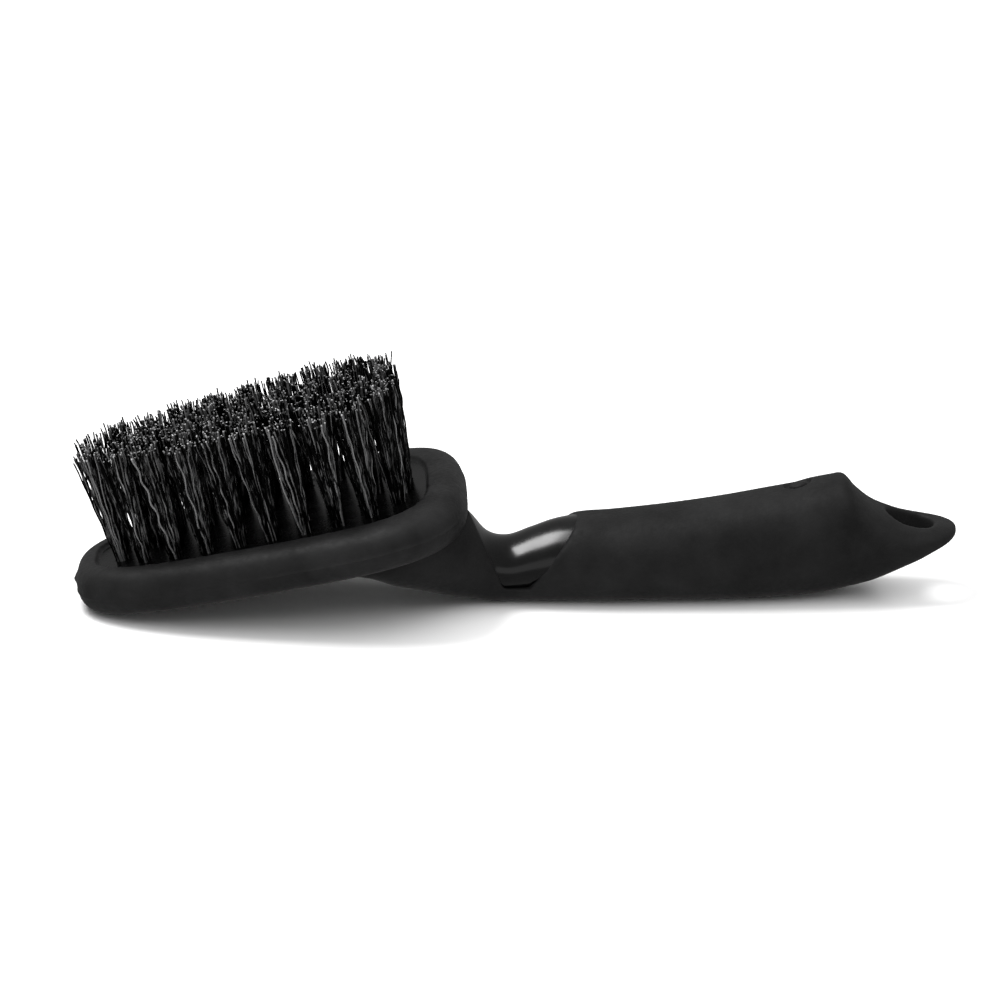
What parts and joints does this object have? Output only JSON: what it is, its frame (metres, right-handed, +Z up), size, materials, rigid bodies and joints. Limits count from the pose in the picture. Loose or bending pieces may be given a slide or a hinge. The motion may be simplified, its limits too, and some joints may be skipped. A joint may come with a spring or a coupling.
{
  "type": "wheel brush",
  "caption": "Hand brush for wheels: tilted egg-shaped head with a rubber bumper and crimped bristle tufts, soft-touch handle, glossy thumb scoop and hanging hole.",
  "frame": {"origin": "centre of the footprint's bounding box, on the surface that the brush lies on, bristles up", "axes": "+X from the head to the tail of the handle, +Z up out of the bristle side, +Y across; mirror-symmetric about y = 0 apart from the window at the neck and the recess"},
  "size_m": [0.2649, 0.0824, 0.0708],
  "materials": {
    "core_plastic": "polished black polypropylene",
    "grip_rubber": "matte soft-touch thermoplastic rubber, very fine grain",
    "bumper_rubber": "matte black thermoplastic rubber with a fine mould line",
    "bristle": "black crimped filament with a soft streaky shine and cut tips",
    "anchor_wire": "flat galvanised anchor wire"
  },
  "bodies": {
    "root": {"core": "core_plastic", "grip": "grip_rubber", "bumper": "bumper_rubber", "anchors": "anchor_wire", "tuft_01": "bristle", "tuft_02": "bristle", "tuft_03": "bristle", "tuft_04": "bristle", "tuft_05": "bristle", "tuft_06": "bristle", "tuft_07": "bristle", "tuft_08": "bristle", "tuft_09": "bristle", "tuft_10": "bristle", "tuft_11": "bristle", "tuft_12": "bristle", "tuft_13": "bristle", "tuft_14": "bristle", "tuft_15": "bristle", "tuft_16": "bristle", "tuft_17": "bristle", "tuft_18": "bristle", "tuft_19": "bristle", "tuft_20": "bristle", "tuft_21": "bristle", "tuft_22": "bristle", "tuft_23": "bristle", "tuft_24": "bristle", "tuft_25": "bristle", "tuft_26": "bristle", "tuft_27": "bristle", "tuft_28": "bristle", "tuft_29": "bristle", "tuft_30": "bristle", "tuft_31": "bristle", "tuft_32": "bristle", "tuft_33": "bristle", "tuft_34": "bristle", "tuft_35": "bristle", "tuft_36": "bristle", "tuft_37": "bristle", "tuft_38": "bristle", "tuft_39": "bristle", "tuft_40": "bristle", "tuft_41": "bristle", "tuft_42": "bristle", "tuft_43": "bristle"}
  },
  "joints": []
}
